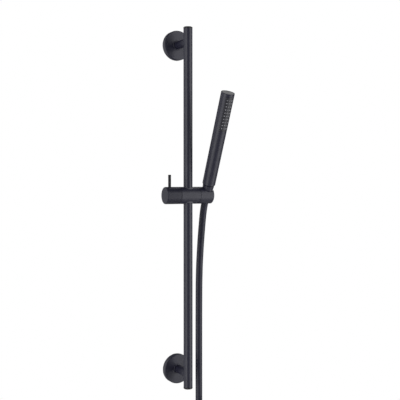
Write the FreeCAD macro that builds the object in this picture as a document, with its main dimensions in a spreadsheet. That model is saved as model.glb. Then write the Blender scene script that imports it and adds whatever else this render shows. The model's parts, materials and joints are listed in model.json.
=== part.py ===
import FreeCAD, Part
import math
import os
import re

import Sketcher
from FreeCAD import Placement, Rotation, Vector

# Shower slide rail: a round rail on two wall brackets, a clamped slider with a
# slotted cone holder, a stick handset in it, and the hose hanging from the handset.
# The wall is the plane Y = 0, the room lies towards -Y, and +Z is up. The origin is
# on the wall, midway between the two wall plates.

# Driving dimensions in millimetres, and degrees for angles
SIZES = {
    # Rail and its end caps
    "rail_diameter": 18,
    "rail_wall": 1.5,
    "rail_length": 723,
    "cap_height": 3.5,
    "cap_overhang": 0.12,
    "cap_round": 1.6,
    "cap_plug": 12,
    # Wall brackets
    "rail_overhang": 29.5,
    "rail_standoff": 56,
    "plate_diameter": 52,
    "plate_thickness": 5,
    "plate_edge": 1,
    "plate_hole_diameter": 5.2,
    "plate_hole_spacing": 34,
    "hub_diameter": 10,
    "hub_length": 15,
    "arm_diameter": 16,
    "bolt_diameter": 5,
    "bolt_head_diameter": 8.5,
    "bolt_head_height": 5,
    "bolt_reach": 4,
    "insert_length": 18,
    "grub_diameter": 4,
    "grub_place": 12,
    "grub_depth": 0.4,
    # Covers that hide the wall plates
    "cover_diameter": 60,
    "cover_depth": 11,
    "cover_wall": 1.5,
    "cover_edge": 1.2,
    "cover_bore_gap": 0.3,
    "collar_diameter": 20.4,
    "collar_rise": 1.2,
    "collar_length": 7,
    "seal_thickness": 1.9,
    "seal_place": 8,
    # Slider: knob, body and holder on one axis across the rail
    "slider_height": 26.4,
    "slider_diameter": 34,
    "body_length": 42,
    "knob_length": 30.4,
    "holder_length": 30.4,
    "slider_seam": 0.3,
    "slider_edge": 0.5,
    "slider_end_round": 2,
    "bush_diameter": 23.4,
    "bush_cover": 0.4,
    "bush_collar_sink": 0.2,
    # Clamp between the knob and the rail
    "spigot_diameter": 20,
    "spigot_length": 13,
    "spigot_wall": 4,
    "knob_recess": 16,
    "knob_seat": 10,
    "spindle_diameter": 7,
    "thread_diameter": 6,
    "flange_diameter": 9.6,
    "flange_thickness": 2,
    "clip_diameter": 12.4,
    "clip_thickness": 1.2,
    "clip_groove": 0.8,
    "shoe_width": 11,
    "shoe_height": 10,
    "shoe_travel": 1,
    "facing_thickness": 1.6,
    "facing_gap": 0.1,
    "lever_diameter": 5.7,
    "lever_offset": 19.6,
    "lever_top": 41,
    "lever_tip": 0.8,
    # Holder for the hose nut, and its friction pivot
    "seat_offset": 20.5,
    "seat_lean": 24,
    "seat_gap": 0.1,
    "slot_width": 15.5,
    "pivot_diameter": 6,
    "pivot_head_diameter": 9.6,
    "pivot_head_height": 2.8,
    "pivot_depth": 8,
    "pivot_wall": 2.5,
    "disc_diameter": 20,
    "disc_thickness": 1.6,
    "spring_diameter": 16,
    "spring_thickness": 0.9,
    "spring_dish": 0.5,
    # Handset, measured along its own axis from the slider axis
    "handset_start": 24,
    "handset_length": 193,
    "handset_foot_diameter": 26.1,
    "handset_head_diameter": 26.8,
    "handset_wall": 2,
    "handset_floor": 3,
    "handset_chamfer": 1.5,
    "handset_rim": 1.2,
    "handset_edge": 0.4,
    "lid_thickness": 3,
    "lid_sink": 0.3,
    "core_bore": 12,
    "chamber_depth": 3,
    # Nozzle panel in the front of the handset
    "panel_length": 69,
    "panel_top_margin": 6.2,
    "panel_angle": 74,
    "panel_thickness": 2.3,
    "panel_gap": 0.1,
    "nozzle_rows": 10,
    "nozzle_pitch": 6.33,
    "nozzle_columns": 3,
    "nozzle_column_angle": 20,
    "nozzle_diameter": 2.6,
    "nozzle_rise": 0.8,
    "nozzle_taper": 15,
    # Inlet and cone nut of the hose
    "inlet_diameter": 19.6,
    "inlet_length": 7,
    "inlet_stem_diameter": 15.9,
    "inlet_bore": 11,
    "washer_thickness": 2,
    "nut_top": 23.2,
    "nut_bottom": 14,
    "nut_top_diameter": 23.2,
    "nut_bottom_diameter": 17.3,
    "nut_shoulder": 13.5,
    "tail_flange_diameter": 19,
    "tail_flange_thickness": 1.5,
    "tail_bore": 9,
    # Hose, and the hank that holds the rest of its length
    "hose_diameter": 14,
    "hose_line": 23,
    "hank_drop": 395,
    "hank_strand": 240,
    "hank_fold_radius": 42,
    "tie_width": 12,
    "tie_thickness": 1.5,
    "tie_drop": 565,
    # Lower end fitting of the hose
    "ferrule_diameter": 16.4,
    "ferrule_length": 24,
    "neck_diameter": 13,
    "neck_length": 8,
    "end_flange_diameter": 19,
    "end_flange_thickness": 2.5,
    "union_width": 24,
    "union_height": 22,
    "union_chamfer": 1.6,
    "union_shoulder": 4,
    "union_thread_diameter": 20.2,
    # Fits: pieces pushed into each other, and pieces that run on each other
    "push_gap": 0.03,
    "running_gap": 0.05,
}

doc = FreeCAD.newDocument("ShowerSlideRail")
sheet = doc.addObject("Spreadsheet::Sheet", "Sizes")
for row, (alias, number) in enumerate(SIZES.items(), start=1):
    sheet.set(f"A{row}", alias)
    sheet.set(f"B{row}", str(number))
    sheet.setAlias(f"B{row}", alias)
doc.recompute()

X_DIRECTION = Vector(1, 0, 0)
Y_DIRECTION = Vector(0, 1, 0)
LEVEL_TOLERANCE = 0.001
nodes = []

# Formulas that several pieces share, in the names of the sizes
RAIL_RADIUS = "rail_diameter / 2"
RAIL_BORE = "(rail_diameter / 2 - rail_wall)"
SLIDER_RADIUS = "slider_diameter / 2"
BODY_HALF = "body_length / 2"
BODY_ROUND = "(slider_diameter / 2 - bush_collar_sink)"
BUSH_REACH = f"(sqrt({BODY_ROUND}^2 - (bush_diameter / 2)^2) - bush_cover)"
LEVER_PLACE = "(body_length / 2 + lever_offset)"
SEAT_PLACE = "(body_length / 2 + seat_offset)"
BRACKET_LEVEL = "(rail_length / 2 - rail_overhang)"
HEAD_SEAT = "(plate_thickness + hub_length + bolt_head_height)"
SPIGOT_END = "(body_length / 2 + spigot_length)"
SPIGOT_FLOOR = "(body_length / 2 + spigot_length - spigot_wall)"
RECESS_FLOOR = "(body_length / 2 + disc_thickness + spring_thickness + spring_dish + 2 * running_gap)"
PIVOT_SEAT = f"({RECESS_FLOOR} + pivot_wall)"
NUT_TAPER = "((nut_top_diameter - nut_bottom_diameter) / 2 / (nut_top + nut_bottom))"
HANDSET_END = "(handset_start + handset_length)"
HANDSET_TAPER = "((handset_head_diameter - handset_foot_diameter) / 2 / handset_length)"
PANEL_TOP = f"({HANDSET_END} - panel_top_margin)"
PANEL_FOOT = f"({HANDSET_END} - panel_top_margin - panel_length)"
HANDSET_BORE = "(handset_foot_diameter / 2 - handset_wall)"
HOSE_RADIUS = "hose_diameter / 2"
HANK_OUTER = "(hank_fold_radius + hose_diameter / 2)"
HANK_INNER = "(hank_fold_radius - hose_diameter / 2)"
HANK_UPPER = f"(-hank_drop - {HANK_OUTER})"
HANK_LOWER = f"(-hank_drop - {HANK_OUTER} - hank_strand)"
HANK_END = f"({HANK_LOWER} - {HANK_OUTER})"
HOSE_END_PLACE = f"({SEAT_PLACE} + hose_diameter)"


def formula(words):
    # A formula in size names becomes one that reads the sheet
    return re.sub(r"[a-z]+(_[a-z]+)+", r"Sizes.\g<0>", str(words))


def bind(item, **formulas):
    for name, words in formulas.items():
        item.setExpression(name, formula(words))
    return item


def place(item, x=0, y=0, z=0, axis=X_DIRECTION, turn=0):
    item.Placement = Placement(Vector(), Rotation(axis, 1))
    for name, words in (("Base.x", x), ("Base.y", y), ("Base.z", z), ("Rotation.Angle", turn)):
        item.setExpression("Placement." + name, formula(words))
    return item


def keep(item, label=None):
    # Marks an object as one finished piece of the product
    item.Label = label or item.Name
    nodes.append(item)
    return item


def attached_sketch(body, name, plane):
    sketch = body.newObject("Sketcher::SketchObject", name)
    support = [item for item in body.Origin.OriginFeatures if item.Role == plane]
    sketch.AttachmentSupport = [(support[0], "")]
    sketch.MapMode = "FlatFace"
    return sketch


def outline(body, name, points, plane="XZ_Plane"):
    # A closed outline whose corners lie at formulas (across, along) from the origin
    sketch = attached_sketch(body, name, plane)
    count = len(points)
    rough = [Vector(10 + i, 3 * i % 7, 0) for i in range(count)]
    for i in range(count):
        sketch.addGeometry(Part.LineSegment(rough[i], rough[(i + 1) % count]))
    for i in range(count):
        sketch.addConstraint(Sketcher.Constraint("Coincident", i, 2, (i + 1) % count, 1))
    for i, corner in enumerate(points):
        for kind, words in zip(("DistanceX", "DistanceY"), corner):
            index = sketch.addConstraint(Sketcher.Constraint(kind, -1, 1, i, 1, 1.0))
            sketch.setExpression(f"Constraints[{index}]", formula(words))
    return sketch


def revolve(body, sketch, kind="Revolution", angle=360):
    feature = body.newObject("PartDesign::" + kind, f"{sketch.Name}_{kind.lower()}")
    feature.Profile = sketch
    feature.ReferenceAxis = (sketch, ["V_Axis"])
    feature.Midplane = True
    bind(feature, Angle=angle)
    return feature


def turned(name, points):
    # A turned piece about its own Z axis, from a half section
    body = doc.addObject("PartDesign::Body", name)
    revolve(body, outline(body, name + "_section", points))
    return body


def rounded(body, level, radius):
    # Rounds the edge that a turned piece has at one level of its axis
    doc.recompute()
    base = body.Tip
    names = []
    for number, edge in enumerate(base.Shape.Edges, start=1):
        box = edge.BoundBox
        if max(abs(box.ZMin - level), abs(box.ZMax - level)) < box.DiagonalLength * LEVEL_TOLERANCE:
            names.append(f"Edge{number}")
    fillet = body.newObject("PartDesign::Fillet", body.Name + "_round")
    fillet.Base = (base, names)
    bind(fillet, Radius=radius)
    return body


def ring(name, inner, outer, low, high):
    return turned(name, [(inner, low), (outer, low), (outer, high), (inner, high)])


def rod(name, radius, height, **where):
    item = doc.addObject("Part::Cylinder", name)
    bind(item, Radius=radius, Height=height)
    return place(item, **where)


def block(name, length, width, height, **where):
    item = doc.addObject("Part::Box", name)
    bind(item, Length=length, Width=width, Height=height)
    return place(item, **where)


def fuse(name, pieces):
    item = doc.addObject("Part::MultiFuse", name)
    item.Shapes = pieces
    item.Refine = True
    return item


def cut(name, base, tools):
    item = doc.addObject("Part::Cut", name)
    item.Base = base
    item.Tool = tools[0] if len(tools) == 1 else fuse(name + "_cutters", tools)
    return item


def common(name, first, second):
    item = doc.addObject("Part::MultiCommon", name)
    item.Shapes = [first, second]
    return item


def across_rail(item):
    # Local Z becomes +X along the slider axis
    return place(item, y="-rail_standoff", z="slider_height", axis=Y_DIRECTION, turn=90)


def along_seat(item):
    # Local Z becomes the leaning axis of the holder's seat
    return place(item, x=SEAT_PLACE, y="-rail_standoff", z="slider_height", turn="seat_lean")


def on_rail(item, z):
    return place(item, y="-rail_standoff", z=z)


def from_wall(item, z):
    # Local Z becomes the distance from the wall
    return place(item, z=z, turn=90)


# Rail
def make_rail():
    half = "(rail_length / 2 - cap_height)"
    blank = on_rail(ring("rail_blank", RAIL_BORE, RAIL_RADIUS, f"-{half}", half), 0)
    holes = []
    for side, sign in (("upper", ""), ("lower", "-")):
        holes.append(
            rod(
                f"{side}_rail_hole",
                "bolt_diameter / 2 + push_gap",
                "rail_diameter",
                y="-rail_standoff",
                z=f"{sign}{BRACKET_LEVEL}",
                turn=-90,
            )
        )
    keep(cut("rail_tube", blank, holes))
    rim = f"({RAIL_RADIUS} + cap_overhang)"
    plug = f"({RAIL_BORE} - push_gap)"
    for name, height, turn in (
        ("rail_cap_top", half, 0),
        ("rail_cap_bottom", f"-{half}", 180),
    ):
        cap = turned(
            name,
            [
                (0, "-cap_plug"),
                (plug, "-cap_plug"),
                (plug, 0),
                (rim, 0),
                (rim, "cap_height"),
                (0, "cap_height"),
            ],
        )
        rounded(cap, sheet.cap_height, "cap_round")
        keep(place(cap, y="-rail_standoff", z=height, turn=turn))


# Wall brackets: plate, arm, bolt into the rail insert, grub screw
def make_bracket(side, level):
    hub = "hub_diameter / 2"
    hub_end = "(plate_thickness + hub_length)"
    plate = from_wall(
        turned(
            f"{side}_plate_blank",
            [
                (0, 0),
                ("plate_diameter / 2", 0),
                ("plate_diameter / 2", "plate_thickness - plate_edge"),
                ("plate_diameter / 2 - plate_edge", "plate_thickness"),
                (hub, "plate_thickness"),
                (hub, hub_end),
                (0, hub_end),
            ],
        ),
        level,
    )
    screw_holes = []
    for hand, sign in (("left", "-"), ("right", "")):
        hole = rod(f"{side}_{hand}_screw_hole", "plate_hole_diameter / 2", "plate_thickness")
        screw_holes.append(place(hole, x=f"{sign}plate_hole_spacing / 2", z=level, turn=90))
    keep(cut(f"{side}_wall_plate", plate, screw_holes))

    arm = "arm_diameter / 2"
    socket = f"({hub} + push_gap)"
    shank_hole = "(bolt_diameter / 2 + push_gap)"
    blank = from_wall(
        turned(
            f"{side}_arm_blank",
            [
                (socket, "plate_thickness"),
                (arm, "plate_thickness"),
                (arm, "rail_standoff"),
                (shank_hole, "rail_standoff"),
                (shank_hole, HEAD_SEAT),
                (socket, HEAD_SEAT),
            ],
        ),
        level,
    )
    saddle = rod(
        f"{side}_saddle",
        f"{RAIL_RADIUS} + push_gap",
        "2 * arm_diameter",
        y="-rail_standoff",
        z=f"{level} - arm_diameter",
    )
    grub_hole = rod(
        f"{side}_grub_hole",
        "grub_diameter / 2 + push_gap",
        "arm_diameter",
        y="-grub_place",
        z=f"{level} - arm_diameter",
    )
    keep(cut(f"{side}_arm", blank, [saddle, grub_hole]))

    bolt = turned(
        f"{side}_arm_bolt",
        [
            (0, hub_end),
            ("bolt_head_diameter / 2", hub_end),
            ("bolt_head_diameter / 2", HEAD_SEAT),
            ("bolt_diameter / 2", HEAD_SEAT),
            ("bolt_diameter / 2", "rail_standoff + bolt_reach"),
            (0, "rail_standoff + bolt_reach"),
        ],
    )
    keep(from_wall(bolt, level))

    plug = rod(
        f"{side}_insert_blank",
        f"{RAIL_BORE} - push_gap",
        "insert_length",
        y="-rail_standoff",
        z=f"{level} - insert_length / 2",
    )
    thread = rod(f"{side}_insert_thread", shank_hole, "2 * rail_standoff")
    keep(cut(f"{side}_rail_insert", plug, [from_wall(thread, level)]))

    keep(
        rod(
            f"{side}_grub_screw",
            "grub_diameter / 2",
            f"{arm} - {hub} - grub_depth",
            y="-grub_place",
            z=f"{level} - {arm} + grub_depth",
        )
    )


# Covers: shallow cups that slide on the arms, each with a sealing ring
def make_cover(side, level):
    rim = "cover_diameter / 2"
    inside = f"({rim} - cover_wall)"
    bore = "(arm_diameter / 2 + cover_bore_gap)"
    collar = "collar_diameter / 2"
    collar_back = "(cover_depth + collar_rise - collar_length)"
    face = "cover_depth"
    back = "(cover_depth - cover_wall)"
    groove = "(arm_diameter / 2 + running_gap + seal_thickness + push_gap)"
    groove_low = "(seal_place - seal_thickness / 2 - push_gap)"
    groove_high = "(seal_place + seal_thickness / 2 + push_gap)"
    cover = turned(
        f"{side}_cover",
        [
            (inside, 0),
            (rim, 0),
            (rim, f"{face} - cover_edge"),
            (f"{rim} - cover_edge", face),
            (collar, face),
            (collar, f"{face} + collar_rise"),
            (bore, f"{face} + collar_rise"),
            (bore, groove_high),
            (groove, groove_high),
            (groove, groove_low),
            (bore, groove_low),
            (bore, collar_back),
            (collar, collar_back),
            (collar, back),
            (inside, back),
        ],
    )
    keep(from_wall(cover, level))
    seal = doc.addObject("Part::Torus", f"{side}_cover_seal")
    bind(
        seal,
        Radius1="arm_diameter / 2 + running_gap + seal_thickness / 2",
        Radius2="seal_thickness / 2",
    )
    keep(place(seal, y="-seal_place", z=level, turn=90))


# Slider body on its two guide bushes
def make_slider_body():
    bush = "bush_diameter / 2"
    bush_bore = f"({RAIL_RADIUS} + running_gap)"
    bush_start = "(shoe_height / 2 + 2 * slider_seam)"
    upper = ring("guide_bush_upper", bush_bore, bush, bush_start, BUSH_REACH)
    keep(on_rail(upper, "slider_height"))
    lower = ring("guide_bush_lower", bush_bore, bush, f"-{BUSH_REACH}", f"-{bush_start}")
    keep(on_rail(lower, "slider_height"))

    blank = across_rail(
        turned(
            "body_blank",
            [
                (0, f"-{SPIGOT_END}"),
                ("spigot_diameter / 2", f"-{SPIGOT_END}"),
                ("spigot_diameter / 2", f"-{BODY_HALF}"),
                (f"{SLIDER_RADIUS} - slider_edge", f"-{BODY_HALF}"),
                (SLIDER_RADIUS, f"-{BODY_HALF} + slider_edge"),
                (SLIDER_RADIUS, f"{BODY_HALF} - slider_edge"),
                (f"{SLIDER_RADIUS} - slider_edge", BODY_HALF),
                (0, BODY_HALF),
            ],
        )
    )
    rail_bore = rod("body_rail_bore", f"{bush} + running_gap", "2 * slider_diameter")
    on_rail(rail_bore, "slider_height - slider_diameter")
    channel = block(
        "shoe_channel",
        SPIGOT_FLOOR,
        "shoe_width + 2 * running_gap",
        "shoe_height + 2 * running_gap",
        x=f"-{SPIGOT_FLOOR}",
        y="-rail_standoff - shoe_width / 2 - running_gap",
        z="slider_height - shoe_height / 2 - running_gap",
    )
    spindle_hole = rod("body_spindle_hole", "spindle_diameter / 2 + running_gap", "spigot_length")
    place(
        spindle_hole,
        x=f"-{SPIGOT_END}",
        y="-rail_standoff",
        z="slider_height",
        axis=Y_DIRECTION,
        turn=90,
    )
    pivot_hole = rod("body_pivot_hole", "pivot_diameter / 2 + push_gap", "pivot_depth")
    place(
        pivot_hole,
        x=f"{BODY_HALF} - pivot_depth",
        y="-rail_standoff",
        z="slider_height",
        axis=Y_DIRECTION,
        turn=90,
    )
    keep(cut("carriage_body", blank, [rail_bore, channel, spindle_hole, pivot_hole]))

    # Collars close the bore outside the bushes and follow the round of the body
    collar = f"({bush} + running_gap - push_gap)"
    collar_bore = f"({RAIL_RADIUS} + slider_seam)"
    collar_start = f"({BUSH_REACH} + running_gap)"
    for side, low, high in (
        ("upper", collar_start, SLIDER_RADIUS),
        ("lower", f"-{SLIDER_RADIUS}", f"-{collar_start}"),
    ):
        sleeve = on_rail(ring(f"{side}_collar_sleeve", collar_bore, collar, low, high), "slider_height")
        round_off = rod(f"{side}_collar_round", BODY_ROUND, "2 * slider_diameter")
        place(
            round_off,
            x="-slider_diameter",
            y="-rail_standoff",
            z="slider_height",
            axis=Y_DIRECTION,
            turn=90,
        )
        keep(common(f"bush_collar_{side}", sleeve, round_off))


# Clamp: knob with its lever, spindle, clip, and the shoe that grips the rail
def make_clamp():
    knob_end = "(body_length / 2 + knob_length)"
    recess_end = "(body_length / 2 + knob_recess)"
    spindle = "spindle_diameter / 2"
    blank = turned(
        "knob_blank",
        [
            (0, f"-{knob_end}"),
            (SLIDER_RADIUS, f"-{knob_end}"),
            (SLIDER_RADIUS, f"-{BODY_HALF} - slider_seam - slider_edge"),
            (f"{SLIDER_RADIUS} - slider_edge", f"-{BODY_HALF} - slider_seam"),
            ("spigot_diameter / 2 + slider_seam", f"-{BODY_HALF} - slider_seam"),
            ("spigot_diameter / 2 + slider_seam", f"-{recess_end}"),
            (0, f"-{recess_end}"),
        ],
    )
    across_rail(rounded(blank, -sheet.body_length / 2 - sheet.knob_length, "slider_end_round"))
    seat = rod("knob_spindle_seat", f"{spindle} + push_gap", "knob_seat")
    place(
        seat,
        x=f"-{recess_end} - knob_seat",
        y="-rail_standoff",
        z="slider_height",
        axis=Y_DIRECTION,
        turn=90,
    )
    lever_hole = rod(
        "knob_lever_hole",
        "lever_diameter / 2 + push_gap",
        "slider_diameter",
        x=f"-{LEVER_PLACE}",
        y="-rail_standoff",
        z="slider_height",
    )
    keep(cut("clamp_knob", blank, [seat, lever_hole]))

    lever = turned(
        "lever_pin",
        [
            (0, spindle),
            ("lever_diameter / 2", spindle),
            ("lever_diameter / 2", "lever_top - lever_tip"),
            ("lever_diameter / 2 - lever_tip", "lever_top"),
            (0, "lever_top"),
        ],
    )
    keep(place(lever, x=f"-{LEVER_PLACE}", y="-rail_standoff", z="slider_height"))

    groove = f"({spindle} - clip_groove)"
    clip_inner = f"-({SPIGOT_END} + running_gap)"
    clip_outer = f"-({SPIGOT_END} + running_gap + clip_thickness)"
    flange_end = f"-({SPIGOT_FLOOR} - running_gap - flange_thickness)"
    flange_start = f"-({SPIGOT_FLOOR} - running_gap)"
    tip = "-(bush_diameter / 2 + facing_thickness)"
    spindle_end = f"-({recess_end} + knob_seat - push_gap)"
    shaft = turned(
        "clamp_spindle",
        [
            (0, spindle_end),
            (spindle, spindle_end),
            (spindle, clip_outer),
            (groove, clip_outer),
            (groove, clip_inner),
            (spindle, clip_inner),
            (spindle, flange_start),
            ("flange_diameter / 2", flange_start),
            ("flange_diameter / 2", flange_end),
            ("thread_diameter / 2", flange_end),
            ("thread_diameter / 2", tip),
            (0, tip),
        ],
    )
    keep(across_rail(shaft))

    clip = across_rail(
        ring(
            "clip_blank",
            f"{groove} + push_gap",
            "clip_diameter / 2",
            f"{clip_outer} + push_gap",
            f"{clip_inner} - push_gap",
        )
    )
    clip_mouth = block(
        "clip_mouth",
        "4 * clip_thickness",
        f"2 * {groove} - clip_groove",
        "clip_diameter",
        x=f"{clip_outer} - clip_thickness",
        y=f"-rail_standoff - {groove} + clip_groove / 2",
        z="slider_height - clip_diameter",
    )
    keep(cut("spindle_clip", clip, [clip_mouth]))

    contact = f"({RAIL_RADIUS} + facing_gap)"
    backing = f"({RAIL_RADIUS} + facing_gap + facing_thickness)"
    shoe_back = f"({SPIGOT_FLOOR} - running_gap - flange_thickness - shoe_travel)"
    shoe_left = f"-{shoe_back}"
    across = {"y": "-rail_standoff - shoe_width / 2", "z": "slider_height - shoe_height / 2"}
    shoe_length = f"({shoe_back} - rail_diameter / 4)"
    shoe = block("shoe_blank", shoe_length, "shoe_width", "shoe_height", x=shoe_left, **across)
    back_round = rod("shoe_round", backing, "2 * shoe_height")
    on_rail(back_round, "slider_height - shoe_height")
    thread = rod("shoe_thread", "thread_diameter / 2 + running_gap", SPIGOT_FLOOR)
    place(
        thread,
        x=f"-{SPIGOT_FLOOR}",
        y="-rail_standoff",
        z="slider_height",
        axis=Y_DIRECTION,
        turn=90,
    )
    keep(cut("brake_shoe", shoe, [back_round, thread]))

    pad_block = block("facing_block", shoe_length, "shoe_width", "shoe_height", x=shoe_left, **across)
    pad_ring = ring("facing_ring", contact, backing, "-shoe_height", "shoe_height")
    keep(common("brake_facing", pad_block, on_rail(pad_ring, "slider_height")))


# Holder: a cylinder with a leaning cone seat that opens in a slot at its end
def make_holder():
    end = "(body_length / 2 + holder_length)"
    start = "(body_length / 2 + slider_seam)"
    recess = "(disc_diameter / 2 + slider_seam)"
    blank = turned(
        "holder_blank",
        [
            (0, RECESS_FLOOR),
            (recess, RECESS_FLOOR),
            (recess, start),
            (f"{SLIDER_RADIUS} - slider_edge", start),
            (SLIDER_RADIUS, f"{start} + slider_edge"),
            (SLIDER_RADIUS, end),
            (0, end),
        ],
    )
    across_rail(rounded(blank, sheet.body_length / 2 + sheet.holder_length, "slider_end_round"))
    seat = doc.addObject("Part::Cone", "holder_seat")
    middle = f"(nut_bottom_diameter / 2 + nut_bottom * {NUT_TAPER} + seat_gap)"
    bind(
        seat,
        Radius1=f"{middle} - slider_diameter * {NUT_TAPER}",
        Radius2=f"{middle} + slider_diameter * {NUT_TAPER}",
        Height="2 * slider_diameter",
    )
    place(
        seat,
        x=SEAT_PLACE,
        y="-rail_standoff + slider_diameter * sin(seat_lean)",
        z="slider_height - slider_diameter * cos(seat_lean)",
        turn="seat_lean",
    )
    slot = block(
        "holder_slot",
        "holder_length",
        "slot_width",
        "2 * slider_diameter",
        x=SEAT_PLACE,
        y="-rail_standoff - slot_width / 2 * cos(seat_lean) + slider_diameter * sin(seat_lean)",
        z="slider_height - slot_width / 2 * sin(seat_lean) - slider_diameter * cos(seat_lean)",
        turn="seat_lean",
    )
    pivot_hole = rod("holder_pivot_hole", "pivot_diameter / 2 + running_gap", "holder_length")
    place(
        pivot_hole,
        x=BODY_HALF,
        y="-rail_standoff",
        z="slider_height",
        axis=Y_DIRECTION,
        turn=90,
    )
    head_room = rod("holder_head_room", "pivot_head_diameter / 2 + slider_seam", f"{SEAT_PLACE} - {PIVOT_SEAT}")
    place(
        head_room,
        x=PIVOT_SEAT,
        y="-rail_standoff",
        z="slider_height",
        axis=Y_DIRECTION,
        turn=90,
    )
    keep(cut("holder_cradle", blank, [seat, slot, pivot_hole, head_room]))

    head_start = f"({PIVOT_SEAT} + running_gap)"
    screw = turned(
        "pivot_screw",
        [
            (0, f"{BODY_HALF} - pivot_depth + push_gap"),
            ("pivot_diameter / 2", f"{BODY_HALF} - pivot_depth + push_gap"),
            ("pivot_diameter / 2", head_start),
            ("pivot_head_diameter / 2", head_start),
            ("pivot_head_diameter / 2", f"{head_start} + pivot_head_height"),
            (0, f"{head_start} + pivot_head_height"),
        ],
    )
    keep(across_rail(screw))
    shank = "(pivot_diameter / 2 + running_gap)"
    disc_end = "(body_length / 2 + disc_thickness)"
    disc = ring("friction_disc", shank, "disc_diameter / 2", BODY_HALF, disc_end)
    keep(across_rail(disc))
    spring_start = f"({disc_end} + running_gap)"
    spring = turned(
        "spring_washer",
        [
            (shank, spring_start),
            ("spring_diameter / 2", f"{spring_start} + spring_dish"),
            ("spring_diameter / 2", f"{spring_start} + spring_dish + spring_thickness"),
            (shank, f"{spring_start} + spring_thickness"),
        ],
    )
    keep(across_rail(spring))


# Handset: tube, core with the spray chamber, nozzle panel, lid and inlet
def make_handset():
    foot = "handset_foot_diameter / 2"
    head = "handset_head_diameter / 2"
    floor_top = "(handset_start + handset_floor)"
    stem_hole = "(inlet_stem_diameter / 2 + push_gap)"
    lid = f"({head} - handset_rim)"
    lid_seat = f"({HANDSET_END} - lid_sink - lid_thickness)"
    tube = turned(
        "handset_tube",
        [
            (stem_hole, "handset_start"),
            (f"{foot} - handset_chamfer", "handset_start"),
            (foot, "handset_start + handset_chamfer"),
            (head, f"{HANDSET_END} - handset_edge"),
            (f"{head} - handset_edge", HANDSET_END),
            (lid, HANDSET_END),
            (lid, lid_seat),
            (HANDSET_BORE, lid_seat),
            (HANDSET_BORE, floor_top),
            (stem_hole, floor_top),
        ],
    )
    window_low = f"{PANEL_FOOT} - panel_gap"
    window_high = f"{PANEL_TOP} + panel_gap"
    window = outline(
        tube,
        "window_section",
        [
            (f"-({HANDSET_BORE} - panel_thickness)", window_low),
            (f"-({head} + panel_thickness)", window_low),
            (f"-({head} + panel_thickness)", window_high),
            (f"-({HANDSET_BORE} - panel_thickness)", window_high),
        ],
        plane="YZ_Plane",
    )
    revolve(tube, window, "Groove", "panel_angle + 1")
    keep(along_seat(tube))

    core_radius = f"({HANDSET_BORE} - panel_thickness + handset_wall - push_gap)"
    chamber_floor = f"({core_radius} - chamber_depth)"
    core = ring("handset_core", "core_bore / 2", core_radius, floor_top, lid_seat)
    chamber = outline(
        core,
        "chamber_section",
        [
            (f"-{chamber_floor}", f"{PANEL_FOOT} + chamber_depth"),
            (f"-{head}", f"{PANEL_FOOT} + chamber_depth"),
            (f"-{head}", f"{PANEL_TOP} - chamber_depth"),
            (f"-{chamber_floor}", f"{PANEL_TOP} - chamber_depth"),
        ],
        plane="YZ_Plane",
    )
    revolve(core, chamber, "Groove", "panel_angle - nozzle_column_angle")
    keep(along_seat(core))

    make_nozzle_panel(foot)

    keep(
        along_seat(
            ring("handset_lid", 0, f"{lid} - push_gap", lid_seat, f"{HANDSET_END} - lid_sink")
        )
    )
    nipple_end = "(handset_start - inlet_length)"
    inlet = turned(
        "handset_inlet",
        [
            ("inlet_bore / 2", nipple_end),
            ("inlet_diameter / 2", nipple_end),
            ("inlet_diameter / 2", "handset_start"),
            ("inlet_stem_diameter / 2", "handset_start"),
            ("inlet_stem_diameter / 2", floor_top),
            ("inlet_bore / 2", floor_top),
        ],
    )
    keep(along_seat(inlet))
    washer_end = f"({nipple_end} - washer_thickness)"
    washer = ring("inlet_washer", "inlet_bore / 2", "tail_flange_diameter / 2", washer_end, nipple_end)
    keep(along_seat(washer))


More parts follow.
